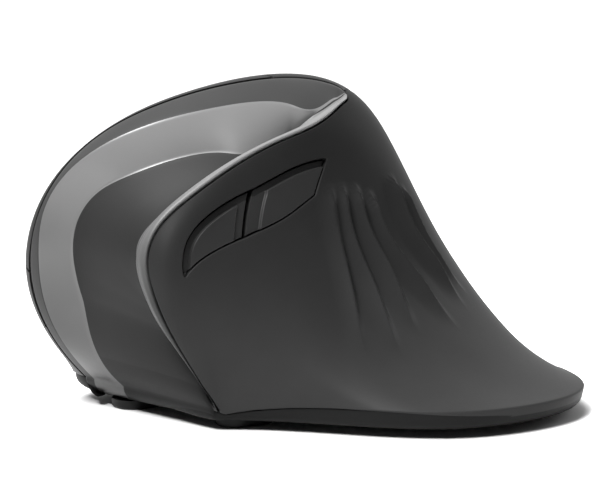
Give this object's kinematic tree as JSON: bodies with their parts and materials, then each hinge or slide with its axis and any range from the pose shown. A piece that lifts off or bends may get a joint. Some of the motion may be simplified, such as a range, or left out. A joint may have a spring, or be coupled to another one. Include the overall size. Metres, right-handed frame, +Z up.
{
  "type": "computer mouse",
  "caption": "Upright right-handed cordless computer mouse: flared thumb rest, ridge, hollow front trim, thumb buttons, finger buttons, scroll wheel and optical base.",
  "frame": {"origin": "on the desk, under the middle of the body's box", "axes": "+Z up, +Y towards the front of the mouse, +X towards the finger side; the thumb side faces -X"},
  "size_m": [0.0963, 0.1084, 0.0715],
  "materials": {
    "thumb_coating": "soft-touch coating, satin",
    "palm_coating": "soft-touch coating, satin",
    "grey_trim": "satin grey paint",
    "black_plastic": "fine matt texture",
    "thumb_key": "satin moulded",
    "grey_hub": "satin moulded",
    "wheel_rubber": "ribbed rubber",
    "steel": "plated",
    "inner_plastic": "moulded",
    "dark_resin": "moulded resin",
    "switch_body": "moulded",
    "plunger": "moulded",
    "circuit_board": "solder mask",
    "base_plastic": "spark-eroded texture",
    "battery_sleeve": "plain printed sleeve",
    "clear_lens": "clear moulded",
    "radio_can": "tinned",
    "flat_cable": "flat flexible cable",
    "glide_pad": "slick pad"
  },
  "bodies": {
    "housing": {"thumb_shell": "thumb_coating", "front_trim": "grey_trim", "palm_shell": "palm_coating", "finger_rail": "black_plastic", "wheel_guides": "inner_plastic", "encoder_emitter": "dark_resin", "encoder_detector": "dark_resin", "wheel_switch": "switch_body", "dpi_switch": "switch_body", "upper_switch": "switch_body", "lower_switch": "switch_body", "side_board": "circuit_board", "side_board_screws": "steel", "inner_frame": "inner_plastic", "thumb_board": "circuit_board", "forward_switch": "switch_body", "back_switch": "switch_body", "base_plate": "base_plastic", "battery": "battery_sleeve", "battery_spring": "steel", "battery_contact": "steel", "main_board": "circuit_board", "main_board_screws": "steel", "optical_sensor": "dark_resin", "sensor_lens": "clear_lens", "radio_module": "radio_can", "power_switch": "switch_body", "side_ribbon": "flat_cable", "thumb_ribbon": "flat_cable", "front_foot_near": "glide_pad", "front_foot_far": "glide_pad", "rear_foot_near": "glide_pad", "rear_foot_far": "glide_pad", "base_screws": "steel", "thumb_board_screws": "steel"},
    "upper_click": {"upper_button": "black_plastic"},
    "lower_click": {"lower_button": "black_plastic"},
    "upper_plunger": {"upper_plunger": "plunger"},
    "lower_plunger": {"lower_plunger": "plunger"},
    "wheel_cradle": {"wheel_carrier": "inner_plastic"},
    "wheel": {"wheel_hub": "grey_hub", "wheel_tyre": "wheel_rubber", "wheel_axle": "steel"},
    "speed_key": {"dpi_button": "thumb_key"},
    "forward_key": {"forward_button": "thumb_key"},
    "back_key": {"back_button": "thumb_key"},
    "power_slider": {"power_knob": "thumb_key"},
    "door": {"battery_door": "base_plastic"}
  },
  "joints": [
    {"name": "upper_click", "type": "hinge", "parent": "housing", "child": "upper_click", "pos_m": [0.01098, 0.00492, 0.07003], "axis": [-0.7335, -0.0519, 0.6777], "range_deg": [0, 0.2], "stiffness_Nm_per_rad": 1.6},
    {"name": "lower_click", "type": "hinge", "parent": "housing", "child": "lower_click", "pos_m": [0.03762, 0.0068, 0.04541], "axis": [-0.3277, 0.0026, 0.9448], "range_deg": [0, 0.2], "stiffness_Nm_per_rad": 1.6},
    {"name": "upper_plunger_slide", "type": "slide", "parent": "housing", "child": "upper_plunger", "axis": [-0.9312, -0.1296, -0.3407], "range_m": [0, 0.0001]},
    {"name": "lower_plunger_slide", "type": "slide", "parent": "housing", "child": "lower_plunger", "axis": [-0.9312, -0.1296, -0.3407], "range_m": [0, 0.0001]},
    {"name": "wheel_press", "type": "slide", "parent": "housing", "child": "wheel_cradle", "axis": [-0.9312, -0.1296, -0.3407], "range_m": [0, 0.0005], "stiffness_N_per_m": 1200},
    {"name": "wheel_spin", "type": "hinge", "parent": "wheel_cradle", "child": "wheel", "pos_m": [0.03403, 0.03481, 0.03737], "axis": [-0.3638, 0.274, 0.8903], "continuous": true},
    {"name": "speed_press", "type": "slide", "parent": "housing", "child": "speed_key", "axis": [-0.9312, -0.1296, -0.3407], "range_m": [0, 0.0005], "stiffness_N_per_m": 1000},
    {"name": "forward_press", "type": "slide", "parent": "housing", "child": "forward_key", "axis": [0.9719, -0.1017, -0.2121], "range_m": [0, 0.0005], "stiffness_N_per_m": 1000},
    {"name": "back_press", "type": "slide", "parent": "housing", "child": "back_key", "axis": [0.9719, -0.1017, -0.2121], "range_m": [0, 0.0005], "stiffness_N_per_m": 1000},
    {"name": "power_slide", "type": "slide", "parent": "housing", "child": "power_slider", "axis": [1, 0, 0], "range_m": [0, 0.003]},
    {"name": "door_slide", "type": "slide", "parent": "housing", "child": "door", "axis": [0, -1, 0], "range_m": [0, 0.004]}
  ],
  "couplings": [
    {"joint": "upper_plunger_slide", "follows": "upper_click", "m_per_rad": 0.022934},
    {"joint": "lower_plunger_slide", "follows": "lower_click", "m_per_rad": 0.020756}
  ]
}
